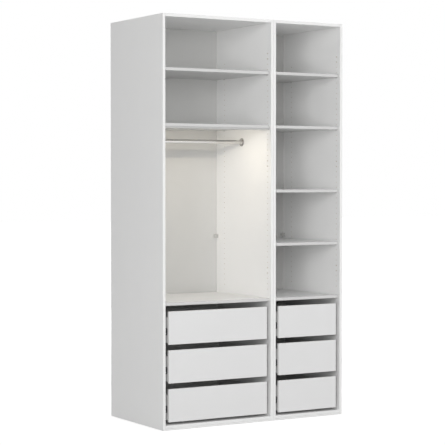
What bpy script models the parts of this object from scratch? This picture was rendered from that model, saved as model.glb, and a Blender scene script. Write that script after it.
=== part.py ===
"""Open wardrobe: a wide and a narrow carcass frame, standing side by side, with shelves,
a hanging bay with a clothes rail, and three pull-out drawers in each frame.

Metres, +Z up, the front towards -Y, the origin on the floor in the middle of the footprint.
"""

import math

import bmesh
import bpy
from mathutils import Vector

# Overall sizes
HEIGHT = 2.394
DEPTH = 0.665
WIDE_WIDTH = 0.750
NARROW_WIDTH = 0.500
FRAME_SEAM = 0.0004

# Boards of the carcass
BOARD = 0.018
EDGE_EASE = 0.0008
CLEARANCE = 0.0003
PLINTH_HEIGHT = 0.0108
PLINTH_THICKNESS = 0.018
BACK_THICKNESS = 0.005
BACK_INSET = 0.022
GROOVE_DEPTH = 0.008

# Shelves, hung in a column of holes that is counted from the upper shelf
HOLE_PITCH = 0.032
HOLES_OVER_UPPER_SHELF = 3
HOLES_START_OVER_DRAWERS = 0.040
TOP_COMPARTMENT = 0.288
HAT_SHELF_STEPS = 10
THIRD_SHELF_STEPS = 12
FOURTH_SHELF_STEPS = 10
SHELF_SETBACK = 0.015
SHELF_SIDE_PLAY = 0.0005
SHELF_BACK_PLAY = 0.002

# Shelf pins, one at each corner under a shelf
PIN_RADIUS = 0.0025
PIN_UNDER_SHELF = 0.008
PIN_IN_SIDE = 0.010
PIN_SEAT = 0.0005
PIN_SIDES = 6
FRONT_HOLE_ROW = 0.037
REAR_HOLE_ROW_TO_BACK = 0.098

# Clothes rail and the two sockets that hold its ends
RAIL_RADIUS = 0.0125
RAIL_WALL = 0.0015
RAIL_DROP = 0.077
RAIL_BEHIND_FRONT = 0.332
SOCKET_RADIUS = 0.025
SOCKET_PLATE = 0.003
SOCKET_COLLAR_WALL = 0.0025
SOCKET_COLLAR_REACH = 0.012
SOCKET_CHAMFER = 0.001
ROUND_STEPS = 32

# Light strip, a slim bar under the front edge of the hat shelf
STRIP_DEPTH = 0.016
STRIP_HEIGHT = 0.010
STRIP_REAR_HEIGHT = 0.004
STRIP_FLOOR = 0.006
STRIP_BEHIND_SHELF_EDGE = 0.001
STRIP_END_SPACE = 0.002

# Drawers
DRAWER_LEVELS = ("lower", "middle", "upper")
FRONT_HEIGHT = 0.192
FRONT_THICKNESS = 0.016
FRONT_SETBACK = 0.005
FINGER_GAP = 0.032
UNDER_LOWEST_FRONT = 0.0162
BOX_WALL = 0.012
BOX_HEIGHT = 0.148
BOX_LIFT = 0.010
BOX_REAR_SPACE = 0.070
DRAWER_BOTTOM_THICKNESS = 0.005
DRAWER_BOTTOM_LIFT = 0.012
DRAWER_GROOVE_DEPTH = 0.006

# Runners: a steel channel on spacer feet at the carcass, a hooked rail on the drawer box
RUNNER_ABOVE_FRONT_BOTTOM = 0.075
CHANNEL_HEIGHT = 0.045
CHANNEL_DEPTH = 0.0125
CHANNEL_WALL = 0.0016
CHANNEL_LIP = 0.0055
CHANNEL_BEHIND_FRONT = 0.030
CHANNEL_REAR_SPACE = 0.055
SLIDE_CLEARANCE = 0.0004
SLIDE_SINK = 0.001
SLIDE_END_SPACE = 0.010
DRAWER_TRAVEL = 0.410
STOP_LENGTH = 0.010
STOP_HEIGHT = 0.020
STOP_REACH = 0.006
STOP_LUG_REACH = 0.009
FOOT_DEPTH = 0.0100
FOOT_LENGTH = 0.045
FOOT_HEIGHT = 0.032
FOOT_END_SPACE = 0.020
FOOT_SINK = 0.0008

# Corner clips that press the back against the sides
CLIP_LEG = 0.022
CLIP_TIP = 0.006
CLIP_HEIGHT = 0.020
CLIP_CENTRE_HEIGHT = 1.088

# Finishes: base colour, roughness, metallic
FINISHES = {
    "board_white": ((0.80, 0.80, 0.79), 0.45, 0.0),
    "back_white": ((0.76, 0.76, 0.75), 0.55, 0.0),
    "drawer_front_white": ((0.78, 0.78, 0.78), 0.45, 0.0),
    "drawer_box_white": ((0.72, 0.72, 0.71), 0.50, 0.0),
    "runner_steel": ((0.55, 0.56, 0.57), 0.35, 1.0),
    "rail_chrome": ((0.80, 0.79, 0.77), 0.12, 1.0),
    "clip_plastic": ((0.74, 0.74, 0.72), 0.50, 0.0),
    "light_diffuser": ((0.90, 0.86, 0.76), 0.40, 0.0),
}

# Places that follow from the sizes above
FRONT_Y = -DEPTH / 2
REAR_Y = DEPTH / 2
BACK_REAR_Y = REAR_Y - BACK_INSET
BACK_FRONT_Y = BACK_REAR_Y - BACK_THICKNESS
TOP_UNDERSIDE = HEIGHT - BOARD
BOTTOM_TOP = PLINTH_HEIGHT + BOARD
SIDE_GAP = CLEARANCE + FOOT_DEPTH + CHANNEL_DEPTH + SLIDE_CLEARANCE
DRAWER_PITCH = FRONT_HEIGHT + FINGER_GAP
LOWEST_FRONT_BOTTOM = BOTTOM_TOP + UNDER_LOWEST_FRONT
DRAWER_SHELF_TOP = LOWEST_FRONT_BOTTOM + len(DRAWER_LEVELS) * DRAWER_PITCH + BOARD
UPPER_SHELF_TOP = TOP_UNDERSIDE - TOP_COMPARTMENT
HAT_SHELF_TOP = UPPER_SHELF_TOP - HAT_SHELF_STEPS * HOLE_PITCH
THIRD_SHELF_TOP = HAT_SHELF_TOP - THIRD_SHELF_STEPS * HOLE_PITCH
FOURTH_SHELF_TOP = THIRD_SHELF_TOP - FOURTH_SHELF_STEPS * HOLE_PITCH
PIN_ROWS = (FRONT_Y + FRONT_HOLE_ROW, BACK_FRONT_Y - REAR_HOLE_ROW_TO_BACK)
BOX_FRONT_Y = FRONT_Y + FRONT_SETBACK + FRONT_THICKNESS + CLEARANCE
BOX_REAR_Y = BACK_FRONT_Y - BOX_REAR_SPACE
LUG_REAR_Y = BOX_REAR_Y - SLIDE_END_SPACE - SLIDE_SINK
LUG_FRONT_Y = LUG_REAR_Y - STOP_LENGTH

SHELVES = {
    "wide": {
        "upper_shelf": UPPER_SHELF_TOP,
        "hat_shelf": HAT_SHELF_TOP,
        "drawer_shelf": DRAWER_SHELF_TOP,
    },
    "narrow": {
        "upper_shelf": UPPER_SHELF_TOP,
        "hat_shelf": HAT_SHELF_TOP,
        "third_shelf": THIRD_SHELF_TOP,
        "fourth_shelf": FOURTH_SHELF_TOP,
        "drawer_shelf": DRAWER_SHELF_TOP,
    },
}


class Frame:
    """The outer and inner faces of one carcass frame, from its left face and its width."""

    def __init__(self, name, left, width):
        self.name = name
        self.left = left
        self.right = left + width
        self.inner_left = self.left + BOARD
        self.inner_right = self.right - BOARD
        self.middle = (self.left + self.right) / 2

    def node(self, piece):
        return f"{self.name}_{piece}"


def make_finishes():
    """One Principled material for each finish."""
    made = {}
    for name, (colour, roughness, metallic) in FINISHES.items():
        material = bpy.data.materials.new(name)
        material.use_nodes = True
        shader = material.node_tree.nodes["Principled BSDF"]
        shader.inputs["Base Color"].default_value = (*colour, 1.0)
        shader.inputs["Roughness"].default_value = roughness
        shader.inputs["Metallic"].default_value = metallic
        made[name] = material
    return made


def mesh_from(bm, name):
    """Turns a finished bmesh, with its faces pointing out, into a mesh."""
    bmesh.ops.recalc_face_normals(bm, faces=bm.faces[:])
    mesh = bpy.data.meshes.new(name)
    bm.to_mesh(mesh)
    bm.free()
    return mesh


def place(name, mesh, location, finish=None, carrier=None):
    """Links a mesh into the scene at a world location, under its carrier if it has one."""
    piece = bpy.data.objects.new(name, mesh)
    bpy.context.scene.collection.objects.link(piece)
    piece.location = Vector(location)
    if carrier is not None:
        piece.parent = carrier
        piece.location = Vector(location) - carrier.location
    if finish is not None:
        mesh.materials.append(MATERIALS[finish])
    return piece


def block(name, low, high, finish=None, carrier=None, ease=0.0):
    """A rectangular solid between two corners, with its edges eased by a small chamfer."""
    low = Vector(low)
    high = Vector(high)
    bm = bmesh.new()
    bmesh.ops.create_cube(bm, size=1.0)
    bmesh.ops.scale(bm, vec=high - low, verts=bm.verts)
    if ease > 0.0:
        bmesh.ops.bevel(bm, geom=bm.edges[:], offset=ease, segments=1, affect="EDGES")
    return place(name, mesh_from(bm, name), (low + high) / 2, finish, carrier)


def extrusion(name, outline, along, location, finish=None, carrier=None):
    """A solid made by drawing a flat outline of 3-D points out along a vector."""
    bm = bmesh.new()
    face = bm.faces.new([bm.verts.new(point) for point in outline])
    drawn = bmesh.ops.extrude_face_region(bm, geom=[face])
    moved = [item for item in drawn["geom"] if isinstance(item, bmesh.types.BMVert)]
    bmesh.ops.translate(bm, vec=Vector(along), verts=moved)
    return place(name, mesh_from(bm, name), location, finish, carrier)


def turned(name, profile, location, finish, closed):
    """A round solid about a line along X, from (distance along the line, radius) points."""
    bm = bmesh.new()
    verts = [bm.verts.new((along, radius, 0.0)) for along, radius in profile]
    edges = [bm.edges.new(pair) for pair in zip(verts, verts[1:])]
    if closed:
        edges.append(bm.edges.new((verts[-1], verts[0])))
    bmesh.ops.spin(
        bm,
        geom=verts + edges,
        cent=(0.0, 0.0, 0.0),
        axis=(1.0, 0.0, 0.0),
        angle=2.0 * math.pi,
        steps=ROUND_STEPS,
    )
    bmesh.ops.remove_doubles(bm, verts=bm.verts, dist=1e-6)
    mesh = mesh_from(bm, name)
    mesh.shade_smooth()
    mesh.set_sharp_from_angle(angle=math.radians(30.0))
    return place(name, mesh, location, finish)


def combine(piece, tool, operation):
    """Joins a helper shape to a piece or cuts it out, and keeps the helper out of sight."""
    tool.hide_render = True
    tool.display_type = "WIRE"
    modifier = piece.modifiers.new(tool.name, "BOOLEAN")
    modifier.operation = operation
    modifier.solver = "EXACT"
    modifier.object = tool


def make_sides(frame):
    """Two full-height sides, each with a groove for the back and two rows of blind holes."""
    groove_low = BACK_FRONT_Y - CLEARANCE
    groove_high = BACK_REAR_Y + CLEARANCE
    for hand, inner, outer in (
        ("left", frame.inner_left, frame.left),
        ("right", frame.inner_right, frame.right),
    ):
        name = frame.node(f"{hand}_side")
        inward = math.copysign(1.0, inner - outer)
        side = block(
            name,
            (min(inner, outer), FRONT_Y, 0.0),
            (max(inner, outer), REAR_Y, HEIGHT),
            "board_white",
            ease=EDGE_EASE,
        )
        floor_x = inner - inward * GROOVE_DEPTH
        mouth_x = inner + inward * GROOVE_DEPTH
        groove = block(
            f"{name}_groove",
            (min(floor_x, mouth_x), groove_low, BOTTOM_TOP - GROOVE_DEPTH),
            (max(floor_x, mouth_x), groove_high, TOP_UNDERSIDE + GROOVE_DEPTH),
        )
        combine(side, groove, "DIFFERENCE")
        holes = pins_mesh(
            f"{name}_holes",
            [(inner, y, z) for y in PIN_ROWS for z in hole_heights()],
            PIN_RADIUS + CLEARANCE,
            PIN_IN_SIDE + CLEARANCE,
        )
        combine(side, holes, "DIFFERENCE")


def pin_height(shelf_top):
    """Height of a shelf's pin centres: the pin's top is seated a little in the underside."""
    return shelf_top - BOARD - PIN_RADIUS + PIN_SEAT


def hole_heights():
    """Heights of the fitting holes: an even column, and under it the drawer shelf's own hole."""
    highest = pin_height(UPPER_SHELF_TOP) + HOLES_OVER_UPPER_SHELF * HOLE_PITCH
    lowest = DRAWER_SHELF_TOP + HOLES_START_OVER_DRAWERS
    steps = math.floor((highest - lowest) / HOLE_PITCH)
    column = [highest - step * HOLE_PITCH for step in range(steps + 1)]
    return column + [pin_height(DRAWER_SHELF_TOP)]


def pins_mesh(name, centres, radius, reach):
    """Round pins along X, reaching equally far to both sides of each centre."""
    bm = bmesh.new()
    for centre in centres:
        made = bmesh.ops.create_cone(
            bm,
            cap_ends=True,
            segments=PIN_SIDES,
            radius1=radius,
            radius2=radius,
            depth=2.0 * reach,
        )
        turn = Vector((0.0, 0.0, 1.0)).rotation_difference(Vector((1.0, 0.0, 0.0)))
        bmesh.ops.rotate(bm, cent=(0.0, 0.0, 0.0), matrix=turn.to_matrix(), verts=made["verts"])
        bmesh.ops.translate(bm, vec=centre, verts=made["verts"])
    return place(name, mesh_from(bm, name), (0.0, 0.0, 0.0))


def make_top_and_bottom(frame):
    """The boards between the sides, each grooved for the back, and a plinth strip in front."""
    left = frame.inner_left + CLEARANCE
    right = frame.inner_right - CLEARANCE
    for piece, low, high, groove_low, groove_high in (
        ("top", TOP_UNDERSIDE, HEIGHT, TOP_UNDERSIDE - GROOVE_DEPTH, TOP_UNDERSIDE + GROOVE_DEPTH),
        ("bottom", PLINTH_HEIGHT, BOTTOM_TOP, BOTTOM_TOP - GROOVE_DEPTH, BOTTOM_TOP + GROOVE_DEPTH),
    ):
        name = frame.node(piece)
        board = block(
            name, (left, FRONT_Y, low), (right, REAR_Y, high), "board_white", ease=EDGE_EASE
        )
        groove = block(
            f"{name}_groove",
            (frame.left, BACK_FRONT_Y - CLEARANCE, groove_low),
            (frame.right, BACK_REAR_Y + CLEARANCE, groove_high),
        )
        combine(board, groove, "DIFFERENCE")
    block(
        frame.node("plinth"),
        (left, FRONT_Y, 0.0),
        (right, FRONT_Y + PLINTH_THICKNESS, PLINTH_HEIGHT - CLEARANCE),
        "board_white",
        ease=EDGE_EASE,
    )


def make_back(frame):
    """The thin back, held on all four edges in the grooves of the frame."""
    bite = GROOVE_DEPTH - CLEARANCE
    block(
        frame.node("back"),
        (frame.inner_left - bite, BACK_FRONT_Y, BOTTOM_TOP - bite),
        (frame.inner_right + bite, BACK_REAR_Y, TOP_UNDERSIDE + bite),
        "back_white",
    )


def make_clips(frame):
    """A small wedge in each rear corner, between the back and a side."""
    for hand, corner, inward in (
        ("left", frame.inner_left + CLEARANCE, 1.0),
        ("right", frame.inner_right - CLEARANCE, -1.0),
    ):
        wedge = [
            (0.0, 0.0, 0.0),
            (inward * CLIP_LEG, 0.0, 0.0),
            (inward * CLIP_LEG, -CLIP_TIP, 0.0),
            (inward * CLIP_TIP, -CLIP_LEG, 0.0),
            (0.0, -CLIP_LEG, 0.0),
        ]
        extrusion(
            frame.node(f"back_clip_{hand}"),
            wedge,
            (0.0, 0.0, CLIP_HEIGHT),
            (corner, BACK_FRONT_Y - CLEARANCE, CLIP_CENTRE_HEIGHT - CLIP_HEIGHT / 2),
            "clip_plastic",
        )


def make_shelves(frame):
    """Shelves between the sides, each resting on four pins that reach into the sides."""
    for piece, top in SHELVES[frame.name].items():
        name = frame.node(piece)
        left = frame.inner_left + SHELF_SIDE_PLAY
        right = frame.inner_right - SHELF_SIDE_PLAY
        shelf = block(
            name,
            (left, FRONT_Y + SHELF_SETBACK, top - BOARD),
            (right, BACK_FRONT_Y - SHELF_BACK_PLAY, top),
            "board_white",
            ease=EDGE_EASE,
        )
        reach = (PIN_UNDER_SHELF + PIN_IN_SIDE) / 2
        shift = (PIN_UNDER_SHELF - PIN_IN_SIDE) / 2
        pins = pins_mesh(
            f"{name}_pins",
            [
                (x, y, pin_height(top))
                for x in (frame.inner_left + shift, frame.inner_right - shift)
                for y in PIN_ROWS
            ],
            PIN_RADIUS,
            reach,
        )
        combine(shelf, pins, "UNION")


def make_light_strip(frame):
    """A slim light bar under the hat shelf's front edge, whose diffuser slants to the back."""
    left = frame.inner_left + STRIP_END_SPACE
    right = frame.inner_right - STRIP_END_SPACE
    section = [
        (0.0, 0.0, 0.0),
        (0.0, STRIP_DEPTH, 0.0),
        (0.0, STRIP_DEPTH, -STRIP_REAR_HEIGHT),
        (0.0, STRIP_FLOOR, -STRIP_HEIGHT),
        (0.0, 0.0, -STRIP_HEIGHT),
    ]
    front = FRONT_Y + SHELF_SETBACK + STRIP_BEHIND_SHELF_EDGE
    underside = HAT_SHELF_TOP - BOARD - CLEARANCE
    extrusion(
        "light_strip", section, (right - left, 0.0, 0.0), (left, front, underside), "light_diffuser"
    )


def make_rail(frame):
    """The clothes rail, a tube whose ends sit in two round sockets on the sides."""
    height = HAT_SHELF_TOP - BOARD - RAIL_DROP
    depth = FRONT_Y + RAIL_BEHIND_FRONT
    bore = RAIL_RADIUS + CLEARANCE
    collar = bore + SOCKET_COLLAR_WALL
    reach = SOCKET_PLATE + SOCKET_COLLAR_REACH
    cup = [
        (0.0, 0.0),
        (0.0, SOCKET_RADIUS),
        (SOCKET_PLATE - SOCKET_CHAMFER, SOCKET_RADIUS),
        (SOCKET_PLATE, SOCKET_RADIUS - SOCKET_CHAMFER),
        (SOCKET_PLATE, collar),
        (reach - SOCKET_CHAMFER, collar),
        (reach, collar - SOCKET_CHAMFER),
        (reach, bore),
        (SOCKET_PLATE, bore),
        (SOCKET_PLATE, 0.0),
    ]
    for hand, wall, inward in (
        ("left", frame.inner_left + CLEARANCE, 1.0),
        ("right", frame.inner_right - CLEARANCE, -1.0),
    ):
        turned(
            f"rail_socket_{hand}",
            [(inward * along, radius) for along, radius in cup],
            (wall, depth, height),
            "rail_chrome",
            closed=False,
        )
    half = (frame.inner_right - frame.inner_left) / 2 - SOCKET_PLATE - 2.0 * CLEARANCE
    turned(
        "clothes_rail",
        [
            (-half, RAIL_RADIUS),
            (half, RAIL_RADIUS),
            (half, RAIL_RADIUS - RAIL_WALL),
            (-half, RAIL_RADIUS - RAIL_WALL),
        ],
        (frame.middle, depth, height),
        "rail_chrome",
        closed=True,
    )


def channel_outline(outward):
    """Cross-section of the carcass channel, open towards the drawer, from its web's back face."""
    half = CHANNEL_HEIGHT / 2
    lip_edge = half - CHANNEL_WALL - CHANNEL_LIP
    inner = half - CHANNEL_WALL
    lip_face = CHANNEL_DEPTH - CHANNEL_WALL
    lower = [
        (0.0, -half),
        (CHANNEL_DEPTH, -half),
        (CHANNEL_DEPTH, -lip_edge),
        (lip_face, -lip_edge),
        (lip_face, -inner),
        (CHANNEL_WALL, -inner),
    ]
    upper = [(across, -height) for across, height in reversed(lower)]
    return [(-outward * across, 0.0, height) for across, height in lower + upper]


def hooked_rail_outline(outward):
    """Cross-section of the drawer's rail, from the box's face: its hooks run behind the lips."""
    hook_near = SLIDE_CLEARANCE + CHANNEL_WALL + SLIDE_CLEARANCE
    hook_far = SLIDE_CLEARANCE + CHANNEL_DEPTH - CHANNEL_WALL - SLIDE_CLEARANCE
    hook_tip = CHANNEL_HEIGHT / 2 - CHANNEL_WALL - SLIDE_CLEARANCE
    neck = CHANNEL_HEIGHT / 2 - CHANNEL_WALL - CHANNEL_LIP - SLIDE_CLEARANCE
    inner = neck - CHANNEL_WALL
    lower = [
        (-SLIDE_SINK, -neck),
        (hook_near, -neck),
        (hook_near, -hook_tip),
        (hook_far, -hook_tip),
        (hook_far, -inner),
        (CHANNEL_WALL, -inner),
    ]
    upper = [(across, -height) for across, height in reversed(lower)]
    return [(outward * across, 0.0, height) for across, height in lower + upper]


def make_runner(frame, level, hand, wall, outward, height):
    """The carcass half of a runner: a channel held off the side by two feet, with a stop in it."""
    name = frame.node(f"{level}_runner_{hand}")
    start = FRONT_Y + CHANNEL_BEHIND_FRONT
    length = BACK_FRONT_Y - CHANNEL_REAR_SPACE - start
    web = wall - outward * (CLEARANCE + FOOT_DEPTH)
    channel = extrusion(
        name, channel_outline(outward), (0.0, length, 0.0), (web, start, height), "runner_steel"
    )
    foot_back = wall - outward * CLEARANCE
    foot_front = web - outward * FOOT_SINK
    for end, foot_start in (
        ("front", start + FOOT_END_SPACE),
        ("rear", start + length - FOOT_END_SPACE - FOOT_LENGTH),
    ):
        foot = block(
            f"{name}_{end}_foot",
            (min(foot_back, foot_front), foot_start, height - FOOT_HEIGHT / 2),
            (max(foot_back, foot_front), foot_start + FOOT_LENGTH, height + FOOT_HEIGHT / 2),
        )
        combine(channel, foot, "UNION")
    stop_rear = LUG_FRONT_Y - DRAWER_TRAVEL - CLEARANCE
    stop_foot = web - outward * (CHANNEL_WALL - FOOT_SINK)
    stop_face = web - outward * (CHANNEL_WALL + STOP_REACH)
    stop = block(
        f"{name}_stop",
        (min(stop_foot, stop_face), stop_rear - STOP_LENGTH, height - STOP_HEIGHT / 2),
        (max(stop_foot, stop_face), stop_rear, height + STOP_HEIGHT / 2),
    )
    combine(channel, stop, "UNION")


def make_drawer(frame, level, front_bottom):
    """A drawer on its slide: the front, a folded box of two walls and a back, and a bottom."""
    half = (frame.inner_right - frame.inner_left) / 2 - SIDE_GAP
    runner_height = front_bottom + RUNNER_ABOVE_FRONT_BOTTOM
    front_face = FRONT_Y + FRONT_SETBACK
    front_back = front_face + FRONT_THICKNESS
    box_bottom = front_bottom + BOX_LIFT
    name = frame.node(f"{level}_drawer")

    slide = bpy.data.objects.new(f"{name}_slide", None)
    bpy.context.scene.collection.objects.link(slide)
    slide.location = (frame.middle, front_face, runner_height)

    front = block(
        f"{name}_front",
        (frame.middle - half, front_face, front_bottom),
        (frame.middle + half, front_back, front_bottom + FRONT_HEIGHT),
        "drawer_front_white",
        slide,
        ease=EDGE_EASE,
    )
    length = BOX_REAR_Y - BOX_FRONT_Y
    folded = [
        (-half, 0.0, 0.0),
        (-half, length, 0.0),
        (half, length, 0.0),
        (half, 0.0, 0.0),
        (half - BOX_WALL, 0.0, 0.0),
        (half - BOX_WALL, length - BOX_WALL, 0.0),
        (-half + BOX_WALL, length - BOX_WALL, 0.0),
        (-half + BOX_WALL, 0.0, 0.0),
    ]
    box = extrusion(
        f"{name}_box",
        folded,
        (0.0, 0.0, BOX_HEIGHT),
        (frame.middle, BOX_FRONT_Y, box_bottom),
        "drawer_box_white",
        slide,
    )
    for hand, outward in (("left", -1.0), ("right", 1.0)):
        rail = extrusion(
            f"{name}_rail_{hand}",
            hooked_rail_outline(outward),
            (0.0, length - 2.0 * SLIDE_END_SPACE, 0.0),
            (frame.middle + outward * half, BOX_FRONT_Y + SLIDE_END_SPACE, runner_height),
            carrier=slide,
        )
        combine(box, rail, "UNION")
        lug_foot = frame.middle + outward * (half - SLIDE_SINK)
        lug_face = frame.middle + outward * (half + STOP_LUG_REACH)
        lug = block(
            f"{name}_stop_lug_{hand}",
            (min(lug_foot, lug_face), LUG_FRONT_Y, runner_height - STOP_HEIGHT / 2),
            (max(lug_foot, lug_face), LUG_REAR_Y, runner_height + STOP_HEIGHT / 2),
            carrier=slide,
        )
        combine(box, lug, "UNION")

    reach = half - BOX_WALL + DRAWER_GROOVE_DEPTH
    panel_low = box_bottom + DRAWER_BOTTOM_LIFT
    panel_high = panel_low + DRAWER_BOTTOM_THICKNESS
    panel_front = front_back - DRAWER_GROOVE_DEPTH
    panel_rear = BOX_REAR_Y - BOX_WALL + DRAWER_GROOVE_DEPTH
    groove = block(
        f"{name}_bottom_groove",
        (frame.middle - reach, panel_front, panel_low - CLEARANCE),
        (frame.middle + reach, panel_rear, panel_high + CLEARANCE),
        carrier=slide,
    )
    combine(front, groove, "DIFFERENCE")
    combine(box, groove, "DIFFERENCE")
    block(
        f"{name}_bottom",
        (frame.middle - reach + CLEARANCE, panel_front + CLEARANCE, panel_low),
        (frame.middle + reach - CLEARANCE, panel_rear - CLEARANCE, panel_high),
        "drawer_box_white",
        slide,
    )
    make_runner(frame, level, "left", frame.inner_left, -1.0, runner_height)
    make_runner(frame, level, "right", frame.inner_right, 1.0, runner_height)


def make_frame(frame):
    """One carcass frame with its shelves, drawers and clips."""
    make_sides(frame)
    make_top_and_bottom(frame)
    make_back(frame)
    make_clips(frame)
    make_shelves(frame)
    for index, level in enumerate(DRAWER_LEVELS):
        make_drawer(frame, level, LOWEST_FRONT_BOTTOM + index * DRAWER_PITCH)


for leftover in list(bpy.data.objects):
    bpy.data.objects.remove(leftover)

MATERIALS = make_finishes()
left_end = -(WIDE_WIDTH + FRAME_SEAM + NARROW_WIDTH) / 2
wide = Frame("wide", left_end, WIDE_WIDTH)
narrow = Frame("narrow", wide.right + FRAME_SEAM, NARROW_WIDTH)
make_frame(wide)
make_frame(narrow)
make_light_strip(wide)
make_rail(wide)
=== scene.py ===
"""Looks of an open wardrobe: a wide and a narrow frame of white board with shelves, a lit hanging
bay with a clothes rail, and six drawers on steel runners.

Metres, +Z up, the front towards -Y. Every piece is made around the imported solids, and its place is
in its mesh.
"""

import math

import bmesh
import bpy
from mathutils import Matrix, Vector


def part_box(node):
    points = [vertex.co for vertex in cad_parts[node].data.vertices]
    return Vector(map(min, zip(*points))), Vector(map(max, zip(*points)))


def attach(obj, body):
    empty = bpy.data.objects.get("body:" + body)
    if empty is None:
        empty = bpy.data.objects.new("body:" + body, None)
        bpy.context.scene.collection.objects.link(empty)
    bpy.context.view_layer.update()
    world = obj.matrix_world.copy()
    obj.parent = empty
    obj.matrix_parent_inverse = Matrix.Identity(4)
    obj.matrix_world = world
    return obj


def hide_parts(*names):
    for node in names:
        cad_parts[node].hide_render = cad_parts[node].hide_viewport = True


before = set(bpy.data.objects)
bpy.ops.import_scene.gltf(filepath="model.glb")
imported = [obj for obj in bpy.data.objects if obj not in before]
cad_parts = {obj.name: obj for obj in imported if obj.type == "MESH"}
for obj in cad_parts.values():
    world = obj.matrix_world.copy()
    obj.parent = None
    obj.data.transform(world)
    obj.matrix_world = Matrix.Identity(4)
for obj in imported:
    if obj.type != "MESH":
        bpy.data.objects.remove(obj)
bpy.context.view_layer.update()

CARCASS = "carcass"
UNITS = ("wide", "narrow")
LEVELS = ("lower", "middle", "upper")
HANDS = (("left", 1.0), ("right", -1.0))
SHELVES = {
    "wide": ("upper", "hat", "drawer"),
    "narrow": ("upper", "hat", "third", "fourth", "drawer"),
}

# Sides of a board, each as an axis and the way along it
FRONT = (1, -1)
LEFT = (0, -1)
RIGHT = (0, 1)
UNDER = (2, -1)
OVER = (2, 1)

# Boards and thin sheets
BOARD = 0.018
BOARD_ROUNDING = 0.0020
ROUNDING_STEPS = 3
BAND_THICKNESS = 0.0021
SHEET_ROUNDING = 0.0004
SHELF_SIDE_PLAY = 0.0005
SEAM = 0.0003
SHARP_ANGLE = math.radians(38.0)
CLOSE_POINTS = 0.000002
SAME_POINTS = 0.000001
# Faces of a shelf turned further down than this get the painted underside shade
UNDERSIDE_SHADE_SLOPE = -0.9

# Surfaces: the limits are those that most of a noise, or of a sum of two, lies between
NOISE_LIMITS = (0.3, 0.7)
SUM_LIMITS = (0.7, 1.3)
BROAD_PATCHES = 4.0
RELIEF_STRENGTH = 0.35
CHIPS_PER_METRE = 900.0
CHIP_TONES = ((0.34, 0.27, 0.20, 1.0), (0.66, 0.57, 0.46, 1.0))
CHIP_RELIEF = 0.0002

# Rows of fitting holes in the sides
HOLE_PITCH = 0.032
HOLE_RADIUS = 0.0026
HOLE_DEPTH = 0.0102
HOLE_STEPS = 16
HOLE_BELOW_SHELF = 0.0020
HOLES_OVER_UPPER_SHELF = 3
HOLES_START_OVER_DRAWERS = 0.040
FRONT_ROW = 0.037
REAR_ROW = 0.540
HINGE_HOLE_RADIUS = 0.0040
HINGE_HOLE_STEPS = (-1, 19, 39)
ALONG_X = (0.0, math.pi / 2, 0.0)
ALONG_Z = (0.0, 0.0, 0.0)

# Shelf pins
PIN_RADIUS = 0.0023
PIN_REACH = 0.0078
PIN_IN_SIDE = 0.0098
PIN_TIP = 0.0006
PIN_GROOVE_RADIUS = 0.85 * PIN_RADIUS
PIN_GROOVE_LENGTH = 0.0012
PIN_GROOVE_SLOPE = 0.0003

# Cam fittings in the top and bottom boards
CAM_RADIUS = 0.0075
CAM_PLAY = 0.0002
CAM_DEPTH = 0.0125
CAM_OVER_FLOOR = 0.001
CAM_EDGE = 0.0004
CAM_STEPS = 24
CAM_SLOT_ARM = 0.0042
CAM_SLOT_HALF = 0.0007
CAM_SLOT_DEPTH = 0.0022
CAM_NOTCH_HALF = 0.0008
CAM_NOTCH_START = 0.0056
CAM_NOTCH_END = 0.0090
CAM_NOTCH_DEPTH = 0.0012
CAM_CUT_OVER = 0.002
CAM_FROM_END = 0.034
CAM_FROM_EDGE = 0.065
CAM_SINK = 0.0003

# Clips in the rear corners
CLIP_TIP = 0.006
CLIP_ROUNDING = 0.0012

# Clothes rail and its sockets
RAIL_WALL = 0.0015
RAIL_END_ROUNDING = 0.0005
SOCKET_PLATE = 0.003
SOCKET_COLLAR = 0.0153
SOCKET_BORE = 0.0127
SOCKET_ROUNDING = 0.0009
SOCKET_ROUND_MIDDLE = 0.3 * SOCKET_ROUNDING
SOCKET_SCREW_CIRCLE = 0.0198
ROUND_STEPS = 64

# Light bar under the hat shelf
BAR_WALL = 0.0012
BAR_BEND = 0.0009
BAR_FLOOR = 0.006
BAR_REAR_LIP = 0.004
BAR_CAP = 0.0015
BAR_CAP_ROUNDING = 0.0006
DIFFUSER_THICKNESS = 0.0018
DIFFUSER_EDGE = 0.0006

# Drawers, and the covers over their front fixings
DRAWER_WALL = 0.012
DRAWER_ROUNDING = 0.0010
COVER_FROM_FRONT = 0.026
COVER_HEIGHTS = (0.030, 0.118)
COVER_PROFILE = ((0.0, 0.0), (0.0, 0.006), (0.0005, 0.0056), (0.0007, 0.0))

# Runners
FOOT_DEPTH = 0.0100
FOOT_LENGTH = 0.045
FOOT_HEIGHT = 0.032
FOOT_ROUNDING = 0.0015
FOOT_END_SPACE = 0.020
FOOT_SCREW_SPACING = 0.022
CHANNEL_WALL = 0.0016
CHANNEL_LIP = 0.0055
CHANNEL_BEND = 0.0018
CHANNEL_HOLE_RADIUS = 0.0026
CHANNEL_HOLE_DEPTH = 3 * CHANNEL_WALL
SLIDE_CLEARANCE = 0.0004
SLIDE_END_SPACE = 0.010
SLIDE_ROUNDING = 0.0005
SLIDE_SINK = 0.001
SLIDE_CAP_SPACE = 0.001
SLIDE_SCREW_FROM_END = 0.060
BEND_STEPS = 5
CORNER_STEPS = 3
STOP_LENGTH = 0.010
STOP_HEIGHT = 0.020
STOP_REACH = 0.006
STOP_ROUNDING = 0.0010
LUG_REACH = 0.009 - CHANNEL_WALL
DRAWER_TRAVEL = 0.410

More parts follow.
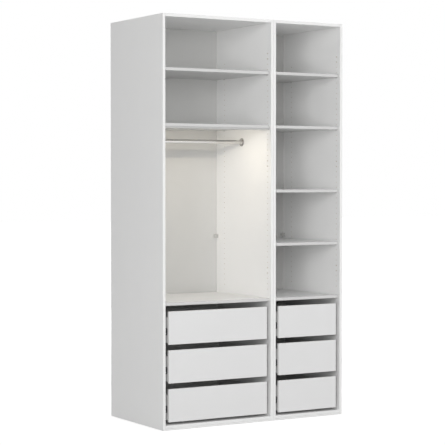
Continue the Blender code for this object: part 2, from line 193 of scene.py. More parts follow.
# Screws: the head's profile and its cross, as shares of its height and radius
SCREW_HEAD_RADIUS = 0.0038
SCREW_HEAD_HEIGHT = 0.0012
SCREW_PROFILE = ((0.0, 0.0), (0.0, 1.0), (0.35, 1.0), (0.75, 0.82), (1.0, 0.50), (1.0, 0.0))
SCREW_CROSS_ARM = 0.62
SCREW_CROSS_HALF = 0.14
SCREW_CROSS_FLOOR = 0.3
SCREW_STEPS = 16
SCREW_SEED = 7

# Camera, as 36 mm film that fills the photograph's square
CAMERA_PLACE = (-4.778, -8.010, 1.438)
CAMERA_HEADING = math.radians(30.65)
CAMERA_TILT = math.radians(-1.575)
CAMERA_LENS = 123.43
CAMERA_FILM = 36.0

# Floor and surround: the floor's glow shows to the camera and in reflections alone
WHITE = (1.0, 1.0, 1.0, 1.0)
WORLD_LIGHT = 0.257
FLOOR_REACH = 40.0
FLOOR_DROP = 0.0002
FLOOR_PATCHES = 0.6
FLOOR_ROUGHNESS = 0.9
FLOOR_TONES = (0.49, 0.51)
FLOOR_GLOW = (0.66, 0.95)
FLOOR_GLOW_DISTANCES = (3.0, 9.0)

# Lamps by their angle from straight ahead towards the left, their rise and their power
LAMPS = (
    ("left_front_lamp", math.radians(35.0), math.radians(7.0), 366.0),
    ("right_front_lamp", math.radians(-35.0), math.radians(12.0), 230.0),
    ("right_lamp", math.radians(-105.0), math.radians(12.0), 200.0),
    ("rear_lamp", math.radians(180.0), math.radians(12.0), 290.0),
)
LAMP_DISTANCE = 7.5
LAMP_AIM = (0.0, 0.0, 1.2)
LAMP_SIZE = (5.0, 4.0)

# A narrow beam from above, for the tops of the frames and little else
TOP_LAMP_PLACE = (0.0, 0.0, 5.0)
TOP_LAMP_SIZE = (1.6, 1.0)
TOP_LAMP_SPREAD = math.radians(35.0)
TOP_LAMP_WATTS = 3.0

# Light of the bar: its diffuser's own glow, and a lamp in front of the diffuser
BAR_GLOW = 1.2
BAR_WATTS = 1.16
BAR_LAMP_INSET = 0.20
BAR_LAMP_DEPTH = 0.008
BAR_LAMP_DROP = 0.001
BAR_COLOUR = (1.0, 0.89, 0.71)
BAR_FACING = (0.0, 0.66, -0.75)


def node(tree, kind, inputs=None, **settings):
    """Adds a node with its settings, and joins or sets its inputs by name or by number."""
    made = tree.nodes.new(kind)
    for name, value in settings.items():
        setattr(made, name, value)
    for name, value in (inputs or {}).items():
        if isinstance(value, bpy.types.NodeSocket):
            tree.links.new(value, made.inputs[name])
        else:
            made.inputs[name].default_value = value
    return made


def signal(tree, kind, inputs=None, **settings):
    """Adds a node and gives its first output."""
    return node(tree, kind, inputs, **settings).outputs[0]


def maths(tree, operation, *values):
    """Adds one step of arithmetic and gives its result."""
    return signal(tree, "ShaderNodeMath", dict(enumerate(values)), operation=operation)


def new_group(name, kind, inputs, outputs):
    """A node group with named sockets, and the ends of its input and output nodes."""
    group = bpy.data.node_groups.new(name, kind)
    for way, sockets in (("INPUT", inputs), ("OUTPUT", outputs)):
        for title, socket_type in sockets.items():
            group.interface.new_socket(title, in_out=way, socket_type=f"NodeSocket{socket_type}")
    given = group.nodes.new("NodeGroupInput").outputs
    result = group.nodes.new("NodeGroupOutput").inputs
    return group, given, result


# Surface effects, shared by the materials

def new_surface(name, pattern, pattern_type):
    """A group that puts out colour, roughness and relief, with one input for its pattern."""
    inputs = {
        "Colour": "Color",
        "Drift": "Float",
        pattern: pattern_type,
        "Roughness": "Float",
        "Gloss Drift": "Float",
    }
    outputs = {"Colour": "Color", "Roughness": "Float", "Height": "Float"}
    return new_group(name, "ShaderNodeTree", inputs, outputs)


def swing(tree, value, limits):
    """Stretches a value between two limits to the range from -1 to 1."""
    low, high = limits
    spread = {"Value": value, "From Min": low, "From Max": high, "To Min": -1.0, "To Max": 1.0}
    return signal(tree, "ShaderNodeMapRange", spread)


def put_out(group, given, result, tone_swing, gloss_swing, height):
    """Swings the colour and the roughness about the given ones, and passes the relief on."""
    tone = maths(group, "MULTIPLY_ADD", tone_swing, given["Drift"], 1.0)
    gloss = maths(group, "MULTIPLY_ADD", gloss_swing, given["Gloss Drift"], given["Roughness"])
    scaled = {0: given["Colour"], "Scale": tone}
    coloured = signal(group, "ShaderNodeVectorMath", scaled, operation="SCALE")
    group.links.new(coloured, result["Colour"])
    group.links.new(gloss, result["Roughness"])
    group.links.new(height, result["Height"])
    return group


def make_grained_surface():
    """Foil, paint and moulded plastic: a slow drift of tone and gloss, and a fine grain."""
    group, given, result = new_surface("grained_surface", "Grains Per Metre", "Float")
    place = node(group, "ShaderNodeTexCoord").outputs["Object"]
    broad_noise = {"Vector": place, "Scale": BROAD_PATCHES, "Detail": 4.0, "Roughness": 0.6}
    broad = signal(group, "ShaderNodeTexNoise", broad_noise)
    grains = given["Grains Per Metre"]
    fine_noise = {"Vector": place, "Scale": grains, "Detail": 2.0, "Roughness": 0.5}
    fine = signal(group, "ShaderNodeTexNoise", fine_noise)
    speck = maths(group, "ADD", fine, broad)
    tone_swing = swing(group, broad, NOISE_LIMITS)
    gloss_swing = swing(group, speck, SUM_LIMITS)
    return put_out(group, given, result, tone_swing, gloss_swing, fine)


def make_drawn_metal():
    """Rolled or drawn metal: fine streaks, whose length and closeness follow the stretch."""
    group, given, result = new_surface("drawn_metal", "Streaks", "Vector")
    place = node(group, "ShaderNodeTexCoord").outputs["Object"]
    stretch = {0: place, 1: given["Streaks"]}
    stretched = signal(group, "ShaderNodeVectorMath", stretch, operation="MULTIPLY")
    noise = {"Vector": stretched, "Scale": 1.0, "Detail": 3.0, "Roughness": 0.6}
    streak = signal(group, "ShaderNodeTexNoise", noise)
    streak_swing = swing(group, streak, NOISE_LIMITS)
    return put_out(group, given, result, streak_swing, streak_swing, streak)


# Materials

def new_material(name):
    """A new material, its tree and its Principled shader."""
    material = bpy.data.materials.new(name)
    material.use_nodes = True
    tree = material.node_tree
    return material, tree, tree.nodes["Principled BSDF"]


def surface_material(
    name, group, colour, drift, pattern, roughness, gloss_drift, relief, **shader_values
):
    """A Principled material whose colour, roughness and relief come from one surface group."""
    material, tree, shader = new_material(name)
    surface = node(tree, "ShaderNodeGroup", node_tree=group)
    values = ((*colour, 1.0), drift, pattern, roughness, gloss_drift)
    for socket, value in zip(surface.inputs, values):
        socket.default_value = value
    height = surface.outputs["Height"]
    bumps = {"Height": height, "Strength": RELIEF_STRENGTH, "Distance": relief}
    bump = signal(tree, "ShaderNodeBump", bumps)
    tree.links.new(surface.outputs["Colour"], shader.inputs["Base Color"])
    tree.links.new(surface.outputs["Roughness"], shader.inputs["Roughness"])
    tree.links.new(bump, shader.inputs["Normal"])
    for socket, value in shader_values.items():
        shader.inputs[socket.replace("_", " ")].default_value = value
    return material


def grained(name, *values, **shader_values):
    """Foil, paint or plastic: its pattern is the number of grains per metre."""
    return surface_material(name, GRAINED_SURFACE, *values, **shader_values)


def drawn_metal(name, *values):
    """Bare or plated metal: its pattern is the closeness of the streaks along each axis."""
    return surface_material(name, DRAWN_METAL, *values, Metallic=1.0)


def chipboard_core():
    """The raw core that shows inside drilled holes: pressed chips of several browns."""
    material, tree, shader = new_material("chipboard core")
    place = node(tree, "ShaderNodeTexCoord").outputs["Object"]
    pattern = {"Vector": place, "Scale": CHIPS_PER_METRE}
    chips = node(tree, "ShaderNodeTexVoronoi", pattern).outputs
    tone = node(tree, "ShaderNodeValToRGB", {"Fac": chips["Color"]})
    for stop, colour in zip(tone.color_ramp.elements, CHIP_TONES):
        stop.color = colour
    bumps = {"Height": chips["Distance"], "Strength": 0.5, "Distance": CHIP_RELIEF}
    bump = signal(tree, "ShaderNodeBump", bumps)
    tree.links.new(tone.outputs["Color"], shader.inputs["Base Color"])
    tree.links.new(bump, shader.inputs["Normal"])
    shader.inputs["Roughness"].default_value = 0.85
    return material


GRAINED_SURFACE = make_grained_surface()
DRAWN_METAL = make_drawn_metal()

# Finishes by their colour, drift of tone, pattern, roughness, drift of gloss and relief
BOARD_FOIL = grained("board foil", (0.85, 0.85, 0.845), 0.010, 1300.0, 0.44, 0.05, 0.00006)
EDGE_BAND = grained("edge band", (0.71, 0.71, 0.705), 0.008, 700.0, 0.36, 0.05, 0.00004)
# The shelves' front band is the carcass edge band painted darker: painted shade on the set-back
# shelf edges.
SHADED_SHELF_BAND = grained("shelf band", (0.52, 0.52, 0.515), 0.008, 700.0, 0.36, 0.05, 0.00004)
# The shelves' undersides: the board foil painted darker, as painted shade under the shelves.
SHELF_UNDERSIDE_SHADE = grained("backing foil", (0.62, 0.62, 0.615), 0.012, 1300.0, 0.50, 0.05, 0.00006)
BACK_FOIL = grained("back foil", (0.58, 0.58, 0.57), 0.012, 900.0, 0.58, 0.05, 0.00008)
FRONT_FOIL = grained("drawer front foil", (0.63, 0.63, 0.63), 0.010, 1300.0, 0.42, 0.05, 0.00006)
FRONT_BAND = grained("drawer front band", (0.67, 0.67, 0.665), 0.008, 700.0, 0.36, 0.05, 0.00004)
BOX_FOIL = grained("drawer box foil", (0.56, 0.56, 0.555), 0.012, 800.0, 0.50, 0.06, 0.00008)
BOTTOM_FOIL = grained("drawer bottom foil", (0.51, 0.51, 0.505), 0.014, 600.0, 0.56, 0.06, 0.00008)
CLIP_PLASTIC = grained("clip plastic", (0.46, 0.46, 0.445), 0.020, 2200.0, 0.42, 0.06, 0.00005)
SPACER_PLASTIC = grained("spacer plastic", (0.42, 0.42, 0.43), 0.030, 2200.0, 0.48, 0.06, 0.00006)
# Black plastic of the stops, lugs and rail caps; on the rail caps it also paints the shade of the
# runner's slot seen in the gaps beside the fronts.
BLACK_PLASTIC_AND_SLOT_SHADE = grained("stop plastic", (0.045, 0.045, 0.047), 0.040, 2200.0, 0.55, 0.06, 0.00006)
BAR_LACQUER = grained("bar lacquer", (0.40, 0.40, 0.395), 0.010, 1600.0, 0.34, 0.04, 0.00003)
DIFFUSER = grained(
    "frosted diffuser",
    (0.90, 0.86, 0.76),
    0.015,
    1800.0,
    0.46,
    0.05,
    0.00004,
    Emission_Color=(*BAR_COLOUR, 1.0),
    Emission_Strength=BAR_GLOW,
)
RUNNER_STEEL = drawn_metal(
    "zinc-plated steel", (0.55, 0.56, 0.57), 0.10, (900.0, 14.0, 900.0), 0.36, 0.08, 0.00004
)
SCREW_STEEL = drawn_metal(
    "screw steel", (0.60, 0.60, 0.58), 0.08, (700.0, 700.0, 700.0), 0.32, 0.08, 0.00003
)
RAIL_CHROME = drawn_metal(
    "rail chrome", (0.65, 0.64, 0.63), 0.03, (9.0, 600.0, 600.0), 0.08, 0.04, 0.00001
)
SOCKET_METAL = drawn_metal(
    "socket metal", (0.60, 0.585, 0.57), 0.05, (500.0, 500.0, 500.0), 0.22, 0.05, 0.00002
)
CHIPBOARD_CORE = chipboard_core()


# Shapes

def show(name, bm, *materials):
    """Turns a finished bmesh into a piece at the origin, with its materials."""
    bmesh.ops.recalc_face_normals(bm, faces=bm.faces[:])
    mesh = bpy.data.meshes.new(name)
    bm.to_mesh(mesh)
    bm.free()
    for material in materials:
        mesh.materials.append(material)
    piece = bpy.data.objects.new(name, mesh)
    bpy.context.scene.collection.objects.link(piece)
    return piece


def settle(piece):
    """Turns what a piece's modifiers make into its plain mesh, and drops the modifiers."""
    evaluated = piece.evaluated_get(bpy.context.evaluated_depsgraph_get())
    mesh = bpy.data.meshes.new_from_object(evaluated)
    piece.modifiers.clear()
    piece.data = mesh
    return piece


def smooth(piece):
    """Drops faces without area and smooths curved edges, while large flat faces stay flat."""
    bm = bmesh.new()
    bm.from_mesh(piece.data)
    bmesh.ops.dissolve_degenerate(bm, dist=CLOSE_POINTS, edges=bm.edges[:])
    bm.to_mesh(piece.data)
    bm.free()
    piece.data.shade_smooth()
    piece.data.set_sharp_from_angle(angle=SHARP_ANGLE)
    weighting = piece.modifiers.new("flat faces", "WEIGHTED_NORMAL")
    weighting.keep_sharp = True
    return settle(piece)


def enter(piece, body, slot, *nodes):
    """Gives a piece its body, in place of the solids that it stands for; the slot is not used."""
    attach(piece, body)
    if nodes:
        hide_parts(*nodes)


def add(name, bm, material, body, slot, *nodes):
    """Shows a shape of one material, smooths it and enters it."""
    enter(smooth(show(name, bm, material)), body, slot, *nodes)


def block(low, high):
    """A plain block between two corners."""
    low = Vector(low)
    high = Vector(high)
    bm = bmesh.new()
    bmesh.ops.create_cube(bm, size=1.0)
    bmesh.ops.scale(bm, vec=high - low, verts=bm.verts)
    return move(bm, (low + high) / 2)


def rounded_block(low, high, rounding, steps=ROUNDING_STEPS):
    """A block between two corners, with rounded edges."""
    bm = block(low, high)
    bmesh.ops.bevel(
        bm, geom=bm.edges[:], offset=rounding, segments=steps, profile=0.5, affect="EDGES"
    )
    return bm


def band_edges(bm, low, high, sides):
    """Gives the second material to the faces within a band's thickness of some of the sides."""
    for face in bm.faces:
        centre = face.calc_center_median()
        for axis, way in sides:
            depth = high[axis] - centre[axis] if way > 0 else centre[axis] - low[axis]
            if depth < BAND_THICKNESS:
                face.material_index = 1


def board(name, low, high, banded, foil=BOARD_FOIL, band=EDGE_BAND):
    """A foil-covered board whose named sides carry an edge band."""
    bm = rounded_block(low, high, BOARD_ROUNDING)
    band_edges(bm, low, high, banded)
    return show(name, bm, foil, band)


def with_play(low, high):
    """The corners of a box with a seam's play all round."""
    play = Vector((SEAM, SEAM, SEAM))
    return Vector(low) - play, Vector(high) + play


def cut_block(piece, low, high):
    """Cuts a rectangular groove out of a piece."""
    cutter = show(f"{piece.name}_groove", block(low, high), *piece.data.materials[:1])
    cutting = piece.modifiers.new("groove", "BOOLEAN")
    cutting.operation = "DIFFERENCE"
    cutting.solver = "EXACT"
    cutting.object = cutter
    settle(piece)
    bpy.data.objects.remove(cutter)


def round_path(points, radius, steps, closed):
    """A path of 2-D points with its corners turned into arcs."""
    rounded = []
    count = len(points)
    for index, corner in enumerate(points):
        corner = Vector(corner)
        if not closed and index in (0, count - 1):
            rounded.append(corner)
            continue
        before = (Vector(points[index - 1]) - corner).normalized()
        after = (Vector(points[(index + 1) % count]) - corner).normalized()
        half_turn = before.angle(after) / 2
        centre = corner + (before + after).normalized() * radius / math.sin(half_turn)
        tangent = radius / math.tan(half_turn)
        start = corner + before * tangent - centre
        sweep = start.angle_signed(corner + after * tangent - centre)
        for step in range(steps + 1):
            angle = -sweep * step / steps
            turned_x = start.x * math.cos(angle) - start.y * math.sin(angle)
            turned_y = start.x * math.sin(angle) + start.y * math.cos(angle)
            rounded.append(centre + Vector((turned_x, turned_y)))
    return rounded


def sheet_outline(path, thickness, bend):
    """The closed outline of bent sheet metal whose middle follows an open path."""
    line = round_path(path, bend, BEND_STEPS, closed=False)
    near = []
    far = []
    for index, point in enumerate(line):
        ahead = line[min(index + 1, len(line) - 1)] - line[max(index - 1, 0)]
        aside = Vector((-ahead.y, ahead.x)).normalized() * thickness / 2
        near.append(point + aside)
        far.append(point - aside)
    return near + far[::-1]


def drawn_bar(outline, point_at, start, end):
    """A bar of constant section: point_at(u, v, along) puts the outline's points in space."""
    bm = bmesh.new()
    first = [bm.verts.new(point_at(u, v, start)) for u, v in outline]
    last = [bm.verts.new(point_at(u, v, end)) for u, v in outline]
    for index in range(len(outline)):
        after = (index + 1) % len(outline)
        bm.faces.new((first[index], first[after], last[after], last[index]))
    bm.faces.new(first)
    bm.faces.new(last[::-1])
    return bm


def turned(profile, steps, axis=(0.0, 0.0, 1.0)):
    """A round shape from a line of points, each with its distance along the axis and its radius."""
    along = Vector(axis)
    aside = along.orthogonal().normalized()
    bm = bmesh.new()
    verts = [bm.verts.new(along * distance + aside * radius) for distance, radius in profile]
    edges = [bm.edges.new(pair) for pair in zip(verts, verts[1:])]
    bmesh.ops.spin(
        bm, geom=verts + edges, cent=(0, 0, 0), axis=along, angle=2.0 * math.pi, steps=steps
    )
    bmesh.ops.remove_doubles(bm, verts=bm.verts, dist=SAME_POINTS)
    return bm


def move(bm, place):
    """Moves a bmesh to its place."""
    bmesh.ops.translate(bm, vec=Vector(place), verts=bm.verts)
    return bm


def merge(bm, other):
    """Adds the faces of another bmesh to this one."""
    mesh = bpy.data.meshes.new("merged")
    other.to_mesh(mesh)
    other.free()
    bm.from_mesh(mesh)
    bpy.data.meshes.remove(mesh)


# Rows of holes and sets of fittings, made by Geometry Nodes

def make_drilling():
    """Rows of blind holes in a board, whose walls show the board's core."""
    tree, given, result = new_group(
        "rows_of_holes",
        "GeometryNodeTree",
        {
            "Board": "Geometry",
            "First Hole": "Vector",
            "Holes": "Int",
            "Pitch": "Vector",
            "Rows": "Int",
            "Row Spacing": "Vector",
            "Radius": "Float",
            "Depth": "Float",
            "Turn": "Vector",
            "Core": "Material",
        },
        {"Drilled Board": "Geometry"},
    )
    first = given["First Hole"]
    line = {"Count": given["Holes"], "Start Location": first, "Offset": given["Pitch"]}
    column = signal(tree, "GeometryNodeMeshLine", line)
    line = {"Count": given["Rows"], "Offset": given["Row Spacing"]}
    rows = signal(tree, "GeometryNodeMeshLine", line)
    grid = signal(tree, "GeometryNodeInstanceOnPoints", {"Points": rows, "Instance": column})
    points = signal(tree, "GeometryNodeRealizeInstances", {"Geometry": grid})
    length = maths(tree, "MULTIPLY", given["Depth"], 2.0)
    cylinder = {"Vertices": HOLE_STEPS, "Radius": given["Radius"], "Depth": length}
    bit = signal(tree, "GeometryNodeMeshCylinder", cylinder)
    turn = signal(tree, "FunctionNodeEulerToRotation", {"Euler": given["Turn"]})
    copies = {"Points": points, "Instance": bit, "Rotation": turn}
    bits = signal(tree, "GeometryNodeInstanceOnPoints", copies)
    real_bits = signal(tree, "GeometryNodeRealizeInstances", {"Geometry": bits})
    marked = signal(
        tree,
        "GeometryNodeStoreNamedAttribute",
        {"Geometry": real_bits, "Name": "drilled", "Value": True},
        data_type="BOOLEAN",
        domain="FACE",
    )
    drilled = signal(
        tree,
        "GeometryNodeMeshBoolean",
        {"Mesh 1": given["Board"], "Mesh 2": marked},
        operation="DIFFERENCE",
        solver="EXACT",
    )
    walls = signal(
        tree, "GeometryNodeInputNamedAttribute", {"Name": "drilled"}, data_type="BOOLEAN"
    )
    raw = {"Geometry": drilled, "Selection": walls, "Material": given["Core"]}
    finished = signal(tree, "GeometryNodeSetMaterial", raw)
    tree.links.new(finished, result["Drilled Board"])
    return tree


def make_fitting_set():
    """Copies of one fitting at a set of points, each turned to its point's facing."""
    tree, given, result = new_group(
        "set_of_fittings",
        "GeometryNodeTree",
        {
            "Points": "Geometry",
            "Fitting": "Object",
            "Spin": "Float",
            "Seed": "Int",
            "Finish": "Material",
        },
        {"Fittings": "Geometry"},
    )
    fitting = node(tree, "GeometryNodeObjectInfo", {"Object": given["Fitting"]}).outputs["Geometry"]
    facing = signal(
        tree, "GeometryNodeInputNamedAttribute", {"Name": "facing"}, data_type="FLOAT_VECTOR"
    )
    aimed = signal(tree, "FunctionNodeAlignRotationToVector", {"Vector": facing}, axis="Z")
    draw = {"Max": given["Spin"], "Seed": given["Seed"]}
    chance = node(tree, "FunctionNodeRandomValue", draw, data_type="FLOAT").outputs[1]
    about_axis = {"Axis": (0.0, 0.0, 1.0), "Angle": chance}
    spin = signal(tree, "FunctionNodeAxisAngleToRotation", about_axis)
    both = {"Rotation": aimed, "Rotate By": spin}
    turn = signal(tree, "FunctionNodeRotateRotation", both, rotation_space="LOCAL")
    at_points = {"Points": given["Points"], "Instance": fitting, "Rotation": turn}
    copies = signal(tree, "GeometryNodeInstanceOnPoints", at_points)
    real = signal(tree, "GeometryNodeRealizeInstances", {"Geometry": copies})
    coated = {"Geometry": real, "Material": given["Finish"]}
    finished = signal(tree, "GeometryNodeSetMaterial", coated)
    tree.links.new(finished, result["Fittings"])
    return tree


DRILLING = make_drilling()
FITTING_SET = make_fitting_set()


def grow(piece, tree, values):
    """Puts a tree on a piece, sets its inputs by their identifiers and keeps the plain result."""
    modifier = piece.modifiers.new(tree.name, "NODES")
    modifier.node_group = tree
    for item in tree.interface.items_tree:
        if item.in_out == "INPUT" and item.name in values:
            modifier[item.identifier] = values[item.name]
    settle(piece)


def drill(piece, first, holes, pitch, rows, row_spacing, radius, depth, turn, core=CHIPBOARD_CORE):
    """Drills rows of holes into a piece."""
    grow(
        piece,
        DRILLING,
        {
            "First Hole": first,
            "Holes": holes,
            "Pitch": pitch,
            "Rows": rows,
            "Row Spacing": row_spacing,
            "Radius": radius,
            "Depth": depth,
            "Turn": turn,
            "Core": core,
        },
    )
    marks = piece.data.attributes.get("drilled")
    if marks is not None:
        piece.data.attributes.remove(marks)


def set_of(name, fitting, places, finish, spin=0.0):
    """One mesh with a copy of a fitting at every (point, facing)."""
    mesh = bpy.data.meshes.new(name)
    mesh.from_pydata([point for point, facing in places], [], [])
    facings = mesh.attributes.new("facing", "FLOAT_VECTOR", "POINT")
    facings.data.foreach_set("vector", [part for point, facing in places for part in facing])
    piece = bpy.data.objects.new(name, mesh)
    bpy.context.scene.collection.objects.link(piece)
    grow(
        piece,
        FITTING_SET,
        {"Fitting": fitting, "Spin": spin, "Seed": SCREW_SEED, "Finish": finish},
    )
    return smooth(piece)


# Fittings that are used many times, each drawn once about its own axis

def cut_cross(piece, arm, half, floor, over):
    """Cuts a cross recess into the face of a fitting."""
    for wide, narrow in ((arm, half), (half, arm)):
        cut_block(piece, (-wide, -narrow, floor), (wide, narrow, over))


def screw_fitting():
    """A low round screw head with a cross recess, on the plane z = 0."""
    radius = SCREW_HEAD_RADIUS
    height = SCREW_HEAD_HEIGHT
    profile = [(along * height, across * radius) for along, across in SCREW_PROFILE]
    screw = show("screw_fitting", turned(profile, SCREW_STEPS))
    floor = SCREW_CROSS_FLOOR * height
    cut_cross(screw, SCREW_CROSS_ARM * radius, SCREW_CROSS_HALF * radius, floor, 2.0 * height)
    return screw


def pin_fitting():
    """A steel shelf pin along z, with a ring groove where it leaves the side."""
    profile = [
        (-PIN_IN_SIDE, 0.0),
        (-PIN_IN_SIDE, PIN_RADIUS - PIN_TIP),
        (-PIN_IN_SIDE + PIN_TIP, PIN_RADIUS),
        (0.0, PIN_RADIUS),
        (PIN_GROOVE_SLOPE, PIN_GROOVE_RADIUS),
        (PIN_GROOVE_LENGTH - PIN_GROOVE_SLOPE, PIN_GROOVE_RADIUS),
        (PIN_GROOVE_LENGTH, PIN_RADIUS),
        (PIN_REACH - PIN_TIP, PIN_RADIUS),
        (PIN_REACH, PIN_RADIUS - PIN_TIP),
        (PIN_REACH, 0.0),
    ]
    return show("pin_fitting", turned(profile, SCREW_STEPS))


def cam_fitting():
    """A cam disc with a cross slot and an arrow-like notch, its face at z = 0."""
    radius = CAM_RADIUS - CAM_PLAY
    under = CAM_OVER_FLOOR - CAM_DEPTH
    profile = [
        (under, 0.0),
        (under, radius),
        (-CAM_EDGE, radius),
        (0.0, radius - CAM_EDGE),
        (0.0, 0.0),
    ]
    cam = show("cam_fitting", turned(profile, CAM_STEPS))
    cut_cross(cam, CAM_SLOT_ARM, CAM_SLOT_HALF, -CAM_SLOT_DEPTH, CAM_CUT_OVER)
    notch_low = (-CAM_NOTCH_HALF, CAM_NOTCH_START, -CAM_NOTCH_DEPTH)
    notch_high = (CAM_NOTCH_HALF, CAM_NOTCH_END, CAM_CUT_OVER)
    cut_block(cam, notch_low, notch_high)
    return cam


def cover_fitting():
    """A low round cover over a fixing in a drawer wall, on the plane z = 0."""
    return show("cover_fitting", turned(COVER_PROFILE, CAM_STEPS))


def block_fitting(name, length, height, reach, rounding):
    """A moulded block that stands on the plane z = 0, its length along y."""
    low = (-height / 2, -length / 2, 0.0)
    high = (height / 2, length / 2, reach)
    return show(name, rounded_block(low, high, rounding, 2))


# Carcass

def inner_faces(unit):
    """Where the two inner faces of a frame lie."""
    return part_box(f"{unit}_left_side")[1].x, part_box(f"{unit}_right_side")[0].x


def hole_height(shelf_top):
    """Height of the holes that a shelf's pins sit in."""
    return shelf_top - BOARD - HOLE_BELOW_SHELF


def make_side(unit, hand, inward):
    """A full-height side with its edge band, two rows of holes and the hinge-plate holes."""
    name = f"{unit}_{hand}_side"
    low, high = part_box(name)
    side = board(f"{name}_board", low, high, [FRONT])
    back_low, back_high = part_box(f"{unit}_back")
    inner = high.x if inward > 0 else low.x
    depth = back_low.x if inward > 0 else back_high.x
    groove_low, groove_high = with_play(back_low, back_high)
    groove_low.x, groove_high.x = sorted((depth - inward * SEAM, inner + inward * BOARD))
    cut_block(side, groove_low, groove_high)
    row_y = low.y + FRONT_ROW
    spacing = (0.0, REAR_ROW - FRONT_ROW, 0.0)
    pitch = (0.0, 0.0, -HOLE_PITCH)
    upper = hole_height(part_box(f"{unit}_upper_shelf")[1].z)
    drawers_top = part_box(f"{unit}_drawer_shelf")[1].z
    highest = upper + HOLES_OVER_UPPER_SHELF * HOLE_PITCH
    steps = math.floor((highest - drawers_top - HOLES_START_OVER_DRAWERS) / HOLE_PITCH)
    for height, holes in ((highest, steps + 1), (hole_height(drawers_top), 1)):
        first = (inner, row_y, height)
        drill(side, first, holes, pitch, 2, spacing, HOLE_RADIUS, HOLE_DEPTH, ALONG_X)
    for step in HINGE_HOLE_STEPS:
        first = (inner, row_y, highest - step * HOLE_PITCH)
        drill(side, first, 2, pitch, 1, spacing, HINGE_HOLE_RADIUS, HOLE_DEPTH, ALONG_X)
    enter(smooth(side), CARCASS, "board_white", name)


def make_top_and_bottom(unit):
    """The boards between the sides, grooved for the back and drilled for their cam fittings."""
    back_low, back_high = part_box(f"{unit}_back")
    cams = []
    for piece, way in (("top", 1.0), ("bottom", -1.0)):
        name = f"{unit}_{piece}"
        low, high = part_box(name)
        made = board(f"{name}_board", low, high, [FRONT])
        groove_low, groove_high = with_play(back_low, back_high)
        groove_low.x = low.x - SEAM
        groove_high.x = high.x + SEAM
        cut_block(made, groove_low, groove_high)
        face = high.z if way > 0 else low.z
        first = Vector((low.x + CAM_FROM_END, low.y + CAM_FROM_EDGE, face))
        across = Vector((high.x - low.x - 2 * CAM_FROM_END, 0.0, 0.0))
        along = Vector((0.0, high.y - low.y - 2 * CAM_FROM_EDGE, 0.0))
        drill(made, first, 2, across, 2, along, CAM_RADIUS, CAM_DEPTH, ALONG_Z)
        enter(smooth(made), CARCASS, "board_white", name)
        sink = Vector((0.0, 0.0, -way * CAM_SINK))
        for corner in (first, first + across, first + along, first + across + along):
            cams.append((corner + sink, (0.0, 0.0, way)))
    return cams


def make_plinth(unit):
    """The strip under the bottom board's front edge."""
    name = f"{unit}_plinth"
    low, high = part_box(name)
    strip = board(f"{name}_strip", low, high, [FRONT])
    enter(smooth(strip), CARCASS, "board_white", name)


def make_back(unit):
    """The thin back sheet in the grooves of the frame."""
    name = f"{unit}_back"
    low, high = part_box(name)
    sheet = rounded_block(low, high, SHEET_ROUNDING, 1)
    add(f"{name}_sheet", sheet, BACK_FOIL, CARCASS, "back_white", name)


def make_shelf(unit, level):
    """A shelf with a band in front and an underside, both painted darker as shade, and the places of
    its four pins.
    """
    name = f"{unit}_{level}_shelf"
    low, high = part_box(name)
    left, right = inner_faces(unit)
    shelf_low = Vector((left + SHELF_SIDE_PLAY, low.y, high.z - BOARD))
    shelf_high = Vector((right - SHELF_SIDE_PLAY, high.y, high.z))
    shelf = board(f"{name}_board", shelf_low, shelf_high, [FRONT], BOARD_FOIL, SHADED_SHELF_BAND)
    # The third material paints shade on the faces that turn down.
    shelf.data.materials.append(SHELF_UNDERSIDE_SHADE)
    for face in shelf.data.polygons:
        if face.normal.z < UNDERSIDE_SHADE_SLOPE:
            face.material_index = 2
    enter(smooth(shelf), CARCASS, "board_white", name)
    front_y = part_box(f"{unit}_left_side")[0].y
    height = shelf_low.z - PIN_RADIUS
    return [
        ((wall, front_y + row, height), (inward, 0.0, 0.0))
        for wall, inward in ((left, 1.0), (right, -1.0))
        for row in (FRONT_ROW, REAR_ROW)
    ]


def make_clip(unit, hand, inward):
    """A moulded wedge in a rear corner, and the screw that pulls it into the corner."""
    name = f"{unit}_back_clip_{hand}"
    low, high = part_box(name)
    leg = high.x - low.x
    corner = low.x if inward > 0 else high.x
    outline = [(0.0, 0.0), (leg, 0.0), (leg, CLIP_TIP), (CLIP_TIP, leg), (0.0, leg)]
    outline = round_path(outline, CLIP_ROUNDING, BEND_STEPS, closed=True)

    def point_at(u, v, along):
        return Vector((corner + inward * u, high.y - v, along))

    wedge = drawn_bar(outline, point_at, low.z, high.z)
    add(f"{name}_wedge", wedge, CLIP_PLASTIC, CARCASS, "clip_plastic", name)
    middle = (leg + CLIP_TIP) / 2
    facing = Vector((inward, -1.0, 0.0)).normalized()
    return point_at(middle, middle, (low.z + high.z) / 2), facing


# Hanging bay

def make_rail():
    """The chrome tube of the clothes rail."""
    low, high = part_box("clothes_rail")
    radius = (high.z - low.z) / 2
    half = (high.x - low.x) / 2
    outline = [
        (-half, radius - RAIL_WALL),
        (-half, radius - RAIL_END_ROUNDING),
        (-half + RAIL_END_ROUNDING, radius),
        (half - RAIL_END_ROUNDING, radius),
        (half, radius - RAIL_END_ROUNDING),
        (half, radius - RAIL_WALL),
        (-half, radius - RAIL_WALL),
    ]
    tube = move(turned(outline, ROUND_STEPS, (1.0, 0.0, 0.0)), (low + high) / 2)
    add("clothes_rail_tube", tube, RAIL_CHROME, CARCASS, "rail_chrome", "clothes_rail")


